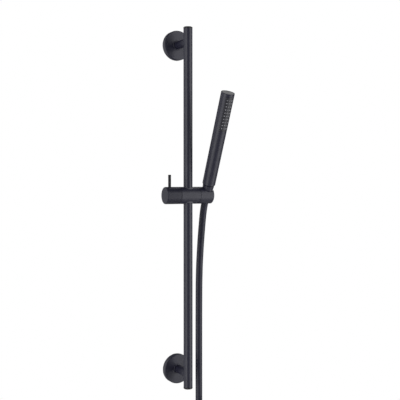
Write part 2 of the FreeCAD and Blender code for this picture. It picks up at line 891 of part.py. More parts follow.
def make_nozzle_panel(foot):
    # The panel lies flush in the window, and its nozzles stand proud of it
    def surface(level):
        return f"({foot} + ({level} - handset_start) * {HANDSET_TAPER})"

    panel = doc.addObject("PartDesign::Body", "nozzle_panel")
    inner = f"({HANDSET_BORE} + handset_wall - panel_thickness)"
    section = outline(
        panel,
        "panel_section",
        [
            (f"-{inner}", PANEL_FOOT),
            (f"-{surface(PANEL_FOOT)}", PANEL_FOOT),
            (f"-{surface(PANEL_TOP)}", PANEL_TOP),
            (f"-{inner}", PANEL_TOP),
        ],
        plane="YZ_Plane",
    )
    revolve(panel, section, angle="panel_angle")

    sketch = attached_sketch(panel, "nozzle_circle", "XZ_Plane")
    sketch.addGeometry(Part.Circle(Vector(0, 1, 0), Vector(0, 0, 1), 1))
    sketch.addConstraint(Sketcher.Constraint("PointOnObject", 0, 3, -2))
    height = sketch.addConstraint(Sketcher.Constraint("DistanceY", -1, 1, 0, 3, 1))
    radius = sketch.addConstraint(Sketcher.Constraint("Radius", 0, 1))
    margin = "((panel_length - (nozzle_rows - 1) * nozzle_pitch) / 2)"
    sketch.setExpression(f"Constraints[{height}]", formula(f"{PANEL_FOOT} + {margin}"))
    sketch.setExpression(f"Constraints[{radius}]", formula("nozzle_diameter / 2"))
    sketch.AttachmentOffset = Placement(Vector(), Rotation(Y_DIRECTION, 1))
    base = f"({inner} + panel_thickness / 2)"
    for name, words in (
        ("Base.x", f"-{base} * sin(nozzle_column_angle)"),
        ("Base.z", f"{base} * cos(nozzle_column_angle)"),
        ("Rotation.Angle", "-nozzle_column_angle"),
    ):
        sketch.setExpression("AttachmentOffset." + name, formula(words))
    nozzle = panel.newObject("PartDesign::Pad", "nozzle")
    nozzle.Profile = sketch
    bind(
        nozzle,
        Length=f"{surface(PANEL_TOP)} + nozzle_rise - {base}",
        TaperAngle="-nozzle_taper",
    )
    many = panel.newObject("PartDesign::MultiTransform", "nozzle_field")
    rows = panel.newObject("PartDesign::LinearPattern", "nozzle_rows")
    rows.Direction = (sketch, ["V_Axis"])
    bind(rows, Length="(nozzle_rows - 1) * nozzle_pitch", Occurrences="nozzle_rows")
    columns = panel.newObject("PartDesign::PolarPattern", "nozzle_columns")
    axis = [item for item in panel.Origin.OriginFeatures if item.Role == "Z_Axis"]
    columns.Axis = (axis[0], [""])
    bind(
        columns,
        Angle="(nozzle_columns - 1) * nozzle_column_angle",
        Occurrences="nozzle_columns",
    )
    many.Originals = [nozzle]
    many.Transformations = [rows, columns]
    panel.Tip = many
    keep(along_seat(panel))


# Upper end of the hose: cone nut and the tail that it holds
def make_hose_top():
    nut_bore = "(inlet_diameter / 2 + push_gap)"
    throat = f"({HOSE_RADIUS} + push_gap)"
    nut = turned(
        "cone_nut",
        [
            (throat, "-nut_bottom"),
            ("nut_bottom_diameter / 2", "-nut_bottom"),
            ("nut_top_diameter / 2", "nut_top"),
            (nut_bore, "nut_top"),
            (nut_bore, "nut_shoulder"),
            (throat, "nut_shoulder"),
        ],
    )
    keep(along_seat(nut))
    tail_top = "(handset_start - inlet_length - washer_thickness)"
    tail_flange = f"({tail_top} - tail_flange_thickness)"
    tail = turned(
        "hose_tail",
        [
            ("tail_bore / 2", "-nut_bottom"),
            (HOSE_RADIUS, "-nut_bottom"),
            (HOSE_RADIUS, tail_flange),
            ("tail_flange_diameter / 2", tail_flange),
            ("tail_flange_diameter / 2", tail_top),
            ("tail_bore / 2", tail_top),
        ],
    )
    keep(along_seat(tail))


# Route of the hanging hose, from the end of its tail to the top of the hank
HOSE_PLACE = sheet.body_length / 2 + sheet.seat_offset
HOSE_ROUTE = [
    Vector(HOSE_PLACE, -50.31, 13.61),
    Vector(HOSE_PLACE, -43.6, -1.46),
    Vector(HOSE_PLACE, -37.2, -33),
    Vector(HOSE_PLACE, -30.4, -75),
    Vector(HOSE_PLACE, -24.3, -130),
    Vector(HOSE_PLACE, -23, -200),
    Vector(HOSE_PLACE, -23, -395),
]
BEND_SHARE = 0.45


def bend(before, corner, after):
    # The arc at a corner, as large as the shorter of its two runs allows
    toward = (before - corner).normalize()
    onward = (after - corner).normalize()
    reach = BEND_SHARE * min((before - corner).Length, (after - corner).Length)
    half_turn = (math.pi - toward.getAngle(onward)) / 2
    radius = reach / math.tan(half_turn)
    start = corner + toward * reach
    finish = corner + onward * reach
    inward = (toward + onward).normalize()
    crown = corner + inward * (radius / math.cos(half_turn) - radius)
    return start, crown, finish, radius


def make_hose():
    edges = []
    here = HOSE_ROUTE[0]
    radii = []
    for before, corner, after in zip(HOSE_ROUTE, HOSE_ROUTE[1:], HOSE_ROUTE[2:]):
        start, crown, finish, radius = bend(before, corner, after)
        edges.append(Part.LineSegment(here, start).toShape())
        edges.append(Part.Arc(start, crown, finish).toShape())
        radii.append(round(radius))
        here = finish
    edges.append(Part.LineSegment(here, HOSE_ROUTE[-1]).toShape())
    path = Part.Wire(edges)
    hose_radius = sheet.hose_diameter / 2
    section = Part.Wire([Part.Circle(HOSE_ROUTE[0], HOSE_ROUTE[1] - HOSE_ROUTE[0], hose_radius).toShape()])
    hose = doc.addObject("Part::Feature", "hose_tube")
    hose.Shape = path.makePipeShell([section], True, True)
    expected = path.Length * math.pi * hose_radius**2
    print(f"hose: {path.Length:.0f} mm, bend radii {radii} mm, volume ratio {hose.Shape.Volume / expected:.4f}")
    keep(hose)


# Hank: the folded rest of the hose, tied at the back
def racetrack(name, radius, depth):
    left = f"({SEAT_PLACE} - hose_diameter / 2)"
    middle = "(-hose_line - hank_fold_radius)"
    strands = block(
        name + "_strands",
        depth,
        f"2 * {radius}",
        "hank_strand",
        x=left,
        y=f"{middle} - {radius}",
        z=HANK_LOWER,
    )
    folds = []
    for end, level in (("upper", HANK_UPPER), ("lower", HANK_LOWER)):
        fold = rod(f"{name}_{end}_fold", radius, depth)
        folds.append(place(fold, x=left, y=middle, z=level, axis=Y_DIRECTION, turn=90))
    return fuse(name, [strands] + folds)


def make_hank():
    depth = "2 * hose_diameter"
    loop = cut(
        "hank_loop",
        racetrack("hank_outside", HANK_OUTER, depth),
        [racetrack("hank_inside", HANK_INNER, depth)],
    )
    upper_run = rod(
        "hank_upper_run",
        HOSE_RADIUS,
        HANK_OUTER,
        x=SEAT_PLACE,
        y="-hose_line",
        z=HANK_UPPER,
    )
    lower_run = rod(
        "hank_lower_run",
        HOSE_RADIUS,
        HANK_OUTER,
        x=HOSE_END_PLACE,
        y="-hose_line",
        z=HANK_END,
    )
    keep(fuse("hose_hank", [loop, upper_run, lower_run]))

    inside = {
        "x": f"{SEAT_PLACE} - hose_diameter / 2 - push_gap",
        "y": f"-hose_line - {HOSE_RADIUS} - push_gap",
    }
    outside = {
        "x": f"{SEAT_PLACE} - hose_diameter / 2 - push_gap - tie_thickness",
        "y": f"-hose_line - {HOSE_RADIUS} - push_gap - tie_thickness",
        "z": "-tie_drop - tie_width / 2",
    }
    strap = block(
        "tie_blank",
        "2 * (hose_diameter + push_gap + tie_thickness)",
        "hose_diameter + 2 * (push_gap + tie_thickness)",
        "tie_width",
        **outside,
    )
    loop_space = block(
        "tie_space",
        "2 * (hose_diameter + push_gap)",
        "hose_diameter + 2 * push_gap",
        "2 * tie_width",
        z="-tie_drop - tie_width",
        **inside,
    )
    keep(cut("hank_tie", strap, [loop_space]))


# Lower end of the hose: ferrule, washer and union nut
def make_hose_end():
    def under_hank(item):
        # Local Z becomes the distance below the end of the hank
        return place(item, x=HOSE_END_PLACE, y="-hose_line", z=HANK_END, turn=180)

    neck = "neck_diameter / 2"
    flange = "end_flange_diameter / 2"
    neck_end = "(ferrule_length + neck_length)"
    flange_end = "(ferrule_length + neck_length + end_flange_thickness)"
    ferrule = turned(
        "end_ferrule",
        [
            ("tail_bore / 2", 0),
            ("ferrule_diameter / 2", 0),
            ("ferrule_diameter / 2", "ferrule_length"),
            (neck, "ferrule_length"),
            (neck, neck_end),
            (flange, neck_end),
            (flange, flange_end),
            ("tail_bore / 2", flange_end),
        ],
    )
    keep(under_hank(ferrule))
    washer_end = f"({flange_end} + washer_thickness)"
    keep(under_hank(ring("end_washer", "tail_bore / 2", flange, flange_end, washer_end)))

    nut_start = f"({neck_end} - running_gap - union_shoulder)"
    nut_end = f"({nut_start} + union_height)"
    hexagon = doc.addObject("Part::Prism", "union_hexagon")
    hexagon.Polygon = 6
    corner = "(union_width / 2 / cos(30))"
    bind(hexagon, Circumradius=corner, Height="union_height")
    place(
        hexagon,
        x=HOSE_END_PLACE,
        y="-hose_line",
        z=f"{HANK_END} - {nut_start}",
        turn=180,
    )
    chamfered = under_hank(
        turned(
            "union_chamfered",
            [
                (0, nut_start),
                (f"{corner} - union_chamfer", nut_start),
                (corner, f"{nut_start} + union_chamfer / 2"),
                (corner, f"{nut_end} - union_chamfer / 2"),
                (f"{corner} - union_chamfer", nut_end),
                (0, nut_end),
            ],
        )
    )
    inside = under_hank(
        turned(
            "union_inside",
            [
                (0, f"{nut_start} - union_shoulder"),
                (f"{neck} + running_gap", f"{nut_start} - union_shoulder"),
                (f"{neck} + running_gap", f"{nut_start} + union_shoulder"),
                (f"{flange} + slider_seam", f"{nut_start} + union_shoulder"),
                (f"{flange} + slider_seam", washer_end),
                ("union_thread_diameter / 2", washer_end),
                ("union_thread_diameter / 2", f"{nut_end} + union_shoulder"),
                (0, f"{nut_end} + union_shoulder"),
            ],
        )
    )
    keep(cut("union_nut", common("union_blank", hexagon, chamfered), [inside]))


make_rail()
for side, level in (("upper", BRACKET_LEVEL), ("lower", f"-{BRACKET_LEVEL}")):
    make_bracket(side, level)
    make_cover(side, level)
make_slider_body()
make_clamp()
make_holder()
make_handset()
make_hose_top()
make_hose()
make_hank()
make_hose_end()
doc.recompute()

for item in doc.Objects:
    if "Invalid" in item.State or "Error" in item.State:
        raise RuntimeError(f"{item.Name} failed: {item.State}")
for item in nodes:
    if item.Shape.isNull() or not item.Shape.isValid() or not item.Shape.Solids:
        raise RuntimeError(f"{item.Label} has no valid solid")

os.makedirs("parts", exist_ok=True)
for item in nodes:
    item.Shape.exportStep(f"parts/{item.Label}.step")
print(f"{len(nodes)} pieces written")
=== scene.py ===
import json
import math

import bmesh
import bpy
from mathutils import Matrix, Vector


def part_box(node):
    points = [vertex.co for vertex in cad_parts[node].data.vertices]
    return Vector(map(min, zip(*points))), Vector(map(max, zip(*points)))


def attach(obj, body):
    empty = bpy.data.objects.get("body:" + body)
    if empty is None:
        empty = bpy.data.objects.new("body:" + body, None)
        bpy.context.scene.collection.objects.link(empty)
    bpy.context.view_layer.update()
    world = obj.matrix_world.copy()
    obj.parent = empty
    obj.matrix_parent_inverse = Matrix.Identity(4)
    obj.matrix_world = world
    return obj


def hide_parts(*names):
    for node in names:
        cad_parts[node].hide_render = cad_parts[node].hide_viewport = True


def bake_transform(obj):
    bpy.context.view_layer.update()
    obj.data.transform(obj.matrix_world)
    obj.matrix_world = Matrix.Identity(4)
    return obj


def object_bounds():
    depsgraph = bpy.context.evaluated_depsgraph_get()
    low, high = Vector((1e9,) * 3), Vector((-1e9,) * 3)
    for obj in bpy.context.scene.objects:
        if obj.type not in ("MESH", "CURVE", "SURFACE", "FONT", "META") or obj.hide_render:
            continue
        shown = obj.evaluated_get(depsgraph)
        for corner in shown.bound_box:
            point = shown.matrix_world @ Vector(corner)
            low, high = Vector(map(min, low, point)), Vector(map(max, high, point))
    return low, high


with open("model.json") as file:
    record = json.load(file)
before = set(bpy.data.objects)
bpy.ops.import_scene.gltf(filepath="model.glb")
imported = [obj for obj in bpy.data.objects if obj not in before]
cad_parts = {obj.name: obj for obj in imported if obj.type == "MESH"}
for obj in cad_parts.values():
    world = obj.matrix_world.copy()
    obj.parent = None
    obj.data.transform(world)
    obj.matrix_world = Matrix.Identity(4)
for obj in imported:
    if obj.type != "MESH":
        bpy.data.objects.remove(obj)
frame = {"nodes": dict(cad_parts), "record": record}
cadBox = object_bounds()
nodes = frame["nodes"]
scene = bpy.context.scene
mm = 0.001
print("frame loaded,", len(nodes), "nodes")


# colours and nodes

def linearColor(hexText):
    channels = [int(hexText[i:i + 2], 16) / 255 for i in (1, 3, 5)]
    return [c / 12.92 if c <= 0.04045 else ((c + 0.055) / 1.055) ** 2.4 for c in channels] + [1.0]


def addNode(tree, kind, inputs=None, **settings):
    node = tree.nodes.new(kind)
    for name, value in settings.items():
        setattr(node, name, value)
    for name, value in (inputs or {}).items():
        if isinstance(value, bpy.types.NodeSocket):
            tree.links.new(value, node.inputs[name])
        else:
            node.inputs[name].default_value = value
    return node


# what the finishes share; real grains of 0.1 to 0.3 mm are drawn at 0.5 mm or more, so that they show
grainStyle = {
    "detail": 3.0, "detailFade": 0.6, "cloudDetail": 2.0,
    "toneStart": 0.35, "toneEnd": 0.65,  # the part of the cloud over which one tone turns to the other
    "heightShare": 0.2,  # height of the grain as a share of its width
    "defaultIor": 1.5,  # which a metal keeps
}


def grainMaterial(look):
    # a fine grain in gloss and height over a slow change of tone, on Object coordinates in metres
    material = bpy.data.materials.new(look["name"])
    material.use_nodes = True
    tree = material.node_tree
    tree.nodes.clear()
    place = addNode(tree, "ShaderNodeTexCoord")
    stretch = addNode(tree, "ShaderNodeMapping", {
        "Vector": place.outputs["Object"],
        "Scale": look.get("stretch", (1, 1, 1)),
    }, label="stretch")
    grainPlace = stretch
    if "alongRun" in look:  # on the hose the grain follows the UV map, along the run and round the skin
        grainPlace = addNode(tree, "ShaderNodeMapping", {
            "Vector": place.outputs["UV"],
            "Scale": look["alongRun"],
        }, label="along the run")
    grain = addNode(tree, "ShaderNodeTexNoise", {
        "Vector": grainPlace.outputs["Vector"],
        "Scale": 1 / (look["grainMm"] * mm),
        "Detail": grainStyle["detail"],
        "Roughness": grainStyle["detailFade"],
    }, label="grain")
    cloud = addNode(tree, "ShaderNodeTexNoise", {
        "Vector": stretch.outputs["Vector"],
        "Scale": 1 / (look["cloudMm"] * mm),
        "Detail": grainStyle["cloudDetail"],
    }, label="cloud")
    tone = addNode(tree, "ShaderNodeValToRGB", {"Fac": cloud.outputs["Fac"]})
    tone.color_ramp.elements[0].position = grainStyle["toneStart"]
    tone.color_ramp.elements[0].color = linearColor(look["darkTone"])
    tone.color_ramp.elements[1].position = grainStyle["toneEnd"]
    tone.color_ramp.elements[1].color = linearColor(look["lightTone"])
    gloss = addNode(tree, "ShaderNodeMapRange", {
        "Value": grain.outputs["Fac"],
        "To Min": look["roughness"] - look["roughnessSpread"],
        "To Max": look["roughness"] + look["roughnessSpread"],
    }, label="gloss")
    height = addNode(tree, "ShaderNodeBump", {
        "Height": grain.outputs["Fac"],
        "Strength": look["bump"],
        "Distance": look["grainMm"] * mm * grainStyle["heightShare"],
    })
    shader = addNode(tree, "ShaderNodeBsdfPrincipled", {
        "Base Color": tone.outputs["Color"],
        "Roughness": gloss.outputs["Result"],
        "Normal": height.outputs["Normal"],
        "Metallic": look["metallic"],
        "IOR": look.get("ior", grainStyle["defaultIor"]),
    })
    addNode(tree, "ShaderNodeOutputMaterial", {"Surface": shader.outputs["BSDF"]})
    return material


# powder coat on steel and brass: sprayed and baked, so matt blue-black with a fine even grain
powderCoat = grainMaterial({
    "name": "powderCoat", "darkTone": "#1f1f2f", "lightTone": "#232333", "grainMm": 0.6, "cloudMm": 9,
    "roughness": 0.40, "roughnessSpread": 0.05, "bump": 0.08, "metallic": 0.0, "ior": 1.5,
})
# the knob is moulded nylon under the same coat; this copy of the coat is a shade deeper and softer black,
# which is painted shade for the darker light on the knob's end of the slider
knobCoatPaintedShade = grainMaterial({
    "name": "knobCoatPaintedShade", "darkTone": "#1a1a29", "lightTone": "#1d1d2d", "grainMm": 0.6, "cloudMm": 9,
    "roughness": 0.42, "roughnessSpread": 0.05, "bump": 0.08, "metallic": 0.0, "ior": 1.43,
})
# black oxide on the turned lever pin: a dipped finish, darker than paint and almost without shine
blackOxideSteel = grainMaterial({
    "name": "blackOxideSteel", "darkTone": "#0e0e15", "lightTone": "#13131a", "grainMm": 0.5, "cloudMm": 4,
    "roughness": 0.5, "roughnessSpread": 0.06, "bump": 0.08, "metallic": 0.0, "ior": 1.38,
})
# ABS moulded in a spark-eroded tool: near black, a little duller than the coat
mouldedAbs = grainMaterial({
    "name": "mouldedAbs", "darkTone": "#15151a", "lightTone": "#19191e", "grainMm": 0.7, "cloudMm": 6,
    "roughness": 0.5, "roughnessSpread": 0.05, "bump": 0.12, "metallic": 0.0, "ior": 1.49,
})
# the handset's lid and panel, ABS again but with a paler satin face
satinAbs = grainMaterial({
    "name": "satinAbs", "darkTone": "#24242b", "lightTone": "#28282f", "grainMm": 0.7, "cloudMm": 6,
    "roughness": 0.42, "roughnessSpread": 0.05, "bump": 0.06, "metallic": 0.0, "ior": 1.49,
})
# acetal, turned for the slider's bore: a mid grey that shows as a pale rim round the rail, partly the
# acetal's own greyer tone and partly painted highlight where light from the right catches the collar's rim
acetalAndPaintedHighlight = grainMaterial({
    "name": "acetalAndPaintedHighlight", "darkTone": "#64646b", "lightTone": "#6b6b72", "grainMm": 0.5, "cloudMm": 4,
    "roughness": 0.4, "roughnessSpread": 0.05, "bump": 0.05, "metallic": 0.0, "ior": 1.48,
})
# extruded PVC hose skin: smooth and satin, with faint lines along the run
extrudedPvc = grainMaterial({
    "name": "extrudedPvc", "darkTone": "#1b1b2d", "lightTone": "#1f1f31", "grainMm": 1.2, "cloudMm": 20,
    "alongRun": (0.15, 0.044, 1),  # a tenth of the length in metres, so lines are long, and the girth
    "roughness": 0.46, "roughnessSpread": 0.04, "bump": 0.04, "metallic": 0.0, "ior": 1.46,
})
# moulded silicone: soft, without shine, grey at the nozzle tips; the pale grey is partly the tips' own
# tone and partly painted highlight for the glints the lamps put on the nubs
siliconeAndPaintedGlint = grainMaterial({
    "name": "siliconeAndPaintedGlint", "darkTone": "#8b8c91", "lightTone": "#97989d", "grainMm": 0.5, "cloudMm": 3,
    "roughness": 0.55, "roughnessSpread": 0.05, "bump": 0.05, "metallic": 0.0, "ior": 1.42,
})
# seal rubber, pressed: dull and near black
pressedRubber = grainMaterial({
    "name": "pressedRubber", "darkTone": "#161618", "lightTone": "#1b1b1d", "grainMm": 0.5, "cloudMm": 4,
    "roughness": 0.65, "roughnessSpread": 0.06, "bump": 0.12, "metallic": 0.0, "ior": 1.52,
})
# turned brass: warm, with fine turning marks
turnedBrass = grainMaterial({
    "name": "turnedBrass", "darkTone": "#b08d4f", "lightTone": "#c4a261", "grainMm": 0.8, "cloudMm": 5,
    "stretch": (0.2, 0.2, 2),
    "roughness": 0.3, "roughnessSpread": 0.08, "bump": 0.06, "metallic": 1.0,
})
# stainless steel as rolled and stamped: grey, with a grain in one direction
stampedSteel = grainMaterial({
    "name": "stampedSteel", "darkTone": "#a7a8aa", "lightTone": "#b2b3b5", "grainMm": 0.8, "cloudMm": 7,
    "stretch": (0.1, 1, 2),
    "roughness": 0.34, "roughnessSpread": 0.08, "bump": 0.06, "metallic": 1.0,
})

slotMaterials = {
    "matt_black": powderCoat,
    "black_plastic": mouldedAbs,
    "bare_brass": turnedBrass,
    "bare_steel": stampedSteel,
    "seal_rubber": pressedRubber,
    "nozzle_silicone": satinAbs,
    "hose_skin": extrudedPvc,
}
for part in frame["record"]["subparts"]:
    cadMesh = nodes[part["node"]].data
    cadMesh.materials.clear()
    cadMesh.materials.append(slotMaterials[part["material_slot"]])
nodes["handset_inlet"].data.materials[0] = powderCoat  # the coat runs over the inlet's thread too, and its black there is also painted shade for the shadow in the narrow gap at the handset's foot
print("materials set on the CAD nodes")


# places from the frame: each piece below is modelled round its own axis and then put there

def middleOf(node):
    low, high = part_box(node)
    return (low + high) / 2


def turned(degrees, axis):
    return Matrix.Rotation(math.radians(degrees), 4, axis)


railAxis = Vector((0, middleOf("rail_tube").y, 0))
sliderAxis = Vector((0, railAxis.y, middleOf("clamp_knob").z))
acrossRail = Matrix.Translation(sliderAxis) @ turned(90, "Y")
seat = {"place": 41.5, "lean": 24}  # mm to the right of the rail, degrees towards the room
alongSeat = Matrix.Translation(sliderAxis + Vector((seat["place"] * mm, 0, 0))) @ turned(seat["lean"], "X")
brackets = {side: middleOf(f"{side}_cover").z for side in ("upper", "lower")}
upright = Matrix.Identity(4)


def fromWall(height):
    return Matrix.Translation((0, 0, height)) @ turned(90, "X")


# mesh helpers; all sizes are in mm, and sections are (radius, height, rounding)

meshing = {
    "weld": 0.001, "sliver": 0.002,  # what is merged or dissolved because it is too small
    "sharpFrom": 32, "smoothTo": 35,  # degrees between two faces
    "cornerSteps": 5, "edgeSteps": 2, "sectorSteps": 28,
    "sides": 96, "largeSides": 128, "sliderSides": 160, "smallSides": 48,  # faces round a full turn
}


def cleanMesh(bm):
    bmesh.ops.remove_doubles(bm, verts=bm.verts, dist=meshing["weld"] * mm)
    bmesh.ops.dissolve_degenerate(bm, edges=bm.edges, dist=meshing["sliver"] * mm)


def drawSection(bm, section, closed):
    corners = [bm.verts.new((corner[0] * mm, 0, corner[1] * mm)) for corner in section]
    for pair in zip(corners, corners[1:]):
        bm.edges.new(pair)
    if closed:
        bm.edges.new((corners[-1], corners[0]))
    return corners


def turnPiece(section, place, sides=meshing["sides"], closed=False):
    bm = bmesh.new()
    corners = drawSection(bm, section, closed)
    for vert, corner in zip(corners, section):
        if len(corner) > 2:
            bmesh.ops.bevel(
                bm, geom=[vert], offset=corner[2] * mm, offset_type="OFFSET", affect="VERTICES",
                segments=meshing["cornerSteps"], profile=0.5, material=-1,
            )
    bmesh.ops.spin(
        bm, geom=bm.verts[:] + bm.edges[:], cent=(0, 0, 0), axis=(0, 0, 1),
        angle=math.tau, steps=sides, use_merge=True,
    )
    bmesh.ops.remove_doubles(bm, verts=bm.verts, dist=meshing["weld"] * mm)
    bmesh.ops.recalc_face_normals(bm, faces=bm.faces)
    bm.transform(place)
    return bm


def turnRod(radius, low, high, place, sides=meshing["sides"]):
    return turnPiece([(0, low), (radius, low), (radius, high), (0, high)], place, sides)


def turnSector(section, angle, place):
    # a piece of a turned ring, with the front of the handset in its middle
    bm = bmesh.new()
    drawSection(bm, section, closed=True)
    bmesh.ops.rotate(bm, verts=bm.verts, matrix=turned(-90 - angle / 2, "Z"))
    bmesh.ops.spin(
        bm, geom=bm.verts[:] + bm.edges[:], cent=(0, 0, 0), axis=(0, 0, 1),
        angle=math.radians(angle), steps=meshing["sectorSteps"], use_merge=False,
    )
    bmesh.ops.holes_fill(bm, edges=bm.edges, sides=len(section))
    bmesh.ops.recalc_face_normals(bm, faces=bm.faces)
    bm.transform(place)
    return bm


def hexCorner(width):
    return width / 2 / math.cos(math.radians(30))


def hexPiece(width, low, high, place):
    # width is across the flats
    bm = bmesh.new()
    corner = hexCorner(width) * mm
    bmesh.ops.create_cone(
        bm, cap_ends=True, segments=6, radius1=corner, radius2=corner, depth=(high - low) * mm,
    )
    bmesh.ops.rotate(bm, verts=bm.verts, matrix=turned(90, "Z"))
    bmesh.ops.translate(bm, verts=bm.verts, vec=(0, 0, (low + high) / 2 * mm))
    bm.transform(place)
    return bm


def boxPiece(size, place):
    bm = bmesh.new()
    bmesh.ops.create_cube(bm, size=1)
    bmesh.ops.scale(bm, verts=bm.verts, vec=[length * mm for length in size])
    bm.transform(place)
    return bm


def combine(bm, tool, operation):
    objects = []
    for source in (bm, tool):
        mesh = bpy.data.meshes.new("shape")
        source.to_mesh(mesh)
        source.free()
        objects.append(bpy.data.objects.new("shape", mesh))
        scene.collection.objects.link(objects[-1])
    cutting = objects[0].modifiers.new("cutting", "BOOLEAN")
    cutting.operation = operation
    cutting.solver = "EXACT"
    cutting.object = objects[1]
    depsgraph = bpy.context.evaluated_depsgraph_get()
    result = bmesh.new()
    result.from_mesh(objects[0].evaluated_get(depsgraph).to_mesh())
    for obj in objects:
        bpy.data.objects.remove(obj)
    cleanMesh(result)
    return result


def softenEdges(bm, width, wanted=None, segments=meshing["edgeSteps"]):
    sharpFrom = math.radians(meshing["sharpFrom"])
    sharp = [edge for edge in bm.edges if edge.is_manifold and edge.calc_face_angle(0) > sharpFrom]
    if wanted:
        sharp = [edge for edge in sharp if wanted(edge)]
    bmesh.ops.bevel(
        bm, geom=sharp, offset=width * mm, offset_type="OFFSET", affect="EDGES",
        segments=segments, profile=0.5, material=-1, clamp_overlap=True,
    )
    cleanMesh(bm)


def joinInto(bm, other):
    mesh = bpy.data.meshes.new("joined")
    other.to_mesh(mesh)
    other.free()
    bm.from_mesh(mesh)
    bpy.data.meshes.remove(mesh)


def addPiece(name, shape, material, body, slotName, *replaced):
    mesh = shape
    if isinstance(shape, bmesh.types.BMesh):
        mesh = bpy.data.meshes.new(name)
        for edge in shape.edges:
            edge.smooth = edge.is_manifold and edge.calc_face_angle(0) < math.radians(meshing["smoothTo"])
        shape.to_mesh(mesh)
        shape.free()
    for face in mesh.polygons:
        face.use_smooth = True
    mesh.materials.clear()
    mesh.materials.append(material)
    piece = bpy.data.objects.new(name, mesh)
    scene.collection.objects.link(piece)
    if shape is not mesh:  # weighted normals keep flat faces flat beside rounded edges
        even = piece.modifiers.new("evenNormals", "WEIGHTED_NORMAL")
        even.keep_sharp = True
    if body:
        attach(piece, body)
    if replaced:
        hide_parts(*replaced)
    return piece


# rail and its rounded end caps

rail = {
    "radius": 9.0, "wall": 1.5, "endEdge": 0.2,
    "capOverhang": 0.12, "capHeight": 3.5, "capRound": 1.6, "capEdge": 0.3,
    "plug": 12.0, "plugRound": 0.5,
}


def makeRail():
    low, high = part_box("rail_tube")
    half = (high.z - low.z) / 2 / mm
    radius, endEdge = rail["radius"], rail["endEdge"]
    bore = radius - rail["wall"]
    section = [(bore, -half), (radius, -half, endEdge), (radius, half, endEdge), (bore, half)]
    tube = turnPiece(section, Matrix.Translation(railAxis), closed=True)
    addPiece("railTube", tube, powderCoat, "wall_rail", "matt_black", "rail_tube")
    rim = radius + rail["capOverhang"]
    capSection = [
        (0, -rail["plug"]), (bore, -rail["plug"], rail["plugRound"]), (bore, 0),
        (rim, 0, rail["capEdge"]), (rim, rail["capHeight"], rail["capRound"]), (0, rail["capHeight"]),
    ]
    for end, height, turn in (("top", half, 0), ("bottom", -half, 180)):
        place = Matrix.Translation(railAxis + Vector((0, 0, height * mm))) @ turned(turn, "X")
        cap = turnPiece(capSection, place)
        addPiece(f"{end}Cap", cap, mouldedAbs, "wall_rail", "black_plastic", f"rail_cap_{end}")


makeRail()
print("rail made")


# wall brackets: rosette, arm, and the screws behind the rosette

rosette = {
    "radius": 30.0, "depth": 11.0, "wall": 1.5, "bore": 8.3,
    "ring": 10.2, "ringRise": 1.2, "ringBack": 5.2,
    "edge": 1.6, "fineEdge": 0.3, "wallEdge": 0.2, "ringEdge": 0.35, "insideRound": 0.8,
}
arm = {"radius": 8.0, "start": 5.0, "sunk": 0.6}  # its end is sunk a little into the rail
wallScrew = {
    "spacing": 34.0, "head": 4.3, "headHeight": 2.6, "headEdge": 0.2, "headRound": 1.2,
    "shank": 2.4, "tip": 0.1, "plate": 5.0,
    "slot": 0.9, "slotLength": 4.6, "slotCut": 3.0,  # half of the cut's height is above the head
}
grubScrew = {
    "radius": 2.0, "length": 2.6, "footEdge": 0.25, "topEdge": 0.4,
    "socket": 2.0, "socketDepth": 1.5, "cutOver": 1.0,
}


def makeRosette(side):
    radius, depth, bore, ring = rosette["radius"], rosette["depth"], rosette["bore"], rosette["ring"]
    ringBack, fine = rosette["ringBack"], rosette["fineEdge"]
    inside = radius - rosette["wall"]
    front = depth + rosette["ringRise"]
    back = depth - rosette["wall"]
    section = [
        (inside, 0, rosette["wallEdge"]), (radius, 0, fine), (radius, depth, rosette["edge"]),
        (ring, depth, fine), (ring, front, rosette["ringEdge"]), (bore, front, fine),
        (bore, ringBack, fine), (ring, ringBack, fine),
        (ring, back), (inside, back, rosette["insideRound"]),
    ]
    cover = turnPiece(section, fromWall(brackets[side]), meshing["largeSides"], closed=True)
    addPiece(f"{side}Rosette", cover, powderCoat, f"{side}_rosette", "matt_black", f"{side}_cover")


def makeArm(side):
    bm = bmesh.new()
    bmesh.ops.create_circle(bm, cap_ends=True, segments=meshing["sides"], radius=arm["radius"] * mm)
    bmesh.ops.translate(bm, verts=bm.verts, vec=(0, 0, arm["start"] * mm))
    grown = bmesh.ops.extrude_face_region(bm, geom=bm.faces[:])["geom"]
    reach = (rail["radius"] - arm["sunk"]) * mm
    for vert in [item for item in grown if isinstance(item, bmesh.types.BMVert)]:
        vert.co.z = -railAxis.y - math.sqrt(reach ** 2 - vert.co.x ** 2)  # the saddle follows the rail
    bmesh.ops.recalc_face_normals(bm, faces=bm.faces)
    bm.transform(fromWall(brackets[side]))
    addPiece(f"{side}Arm", bm, powderCoat, "wall_rail", "matt_black", f"{side}_arm")


def makeWallScrews(side):
    bm = bmesh.new()
    head, shank, tip, plate = wallScrew["head"], wallScrew["shank"], wallScrew["tip"], wallScrew["plate"]
    top = plate + wallScrew["headHeight"]
    section = [
        (0, tip), (shank, tip), (shank, plate), (head, plate, wallScrew["headEdge"]),
        (head, top, wallScrew["headRound"]), (0, top),
    ]
    for hand in (-1, 1):
        screw = turnPiece(section, upright, meshing["smallSides"])
        for turn in (0, 90):
            groove = boxPiece(
                (wallScrew["slotLength"], wallScrew["slot"], wallScrew["slotCut"]),
                Matrix.Translation((0, 0, top * mm)) @ turned(turn, "Z"),
            )
            screw = combine(screw, groove, "DIFFERENCE")
        aside = Matrix.Translation((hand * wallScrew["spacing"] / 2 * mm, 0, 0))
        screw.transform(fromWall(brackets[side]) @ aside)
        joinInto(bm, screw)
    addPiece(f"{side}WallScrews", bm, stampedSteel, "wall_rail", "bare_steel")


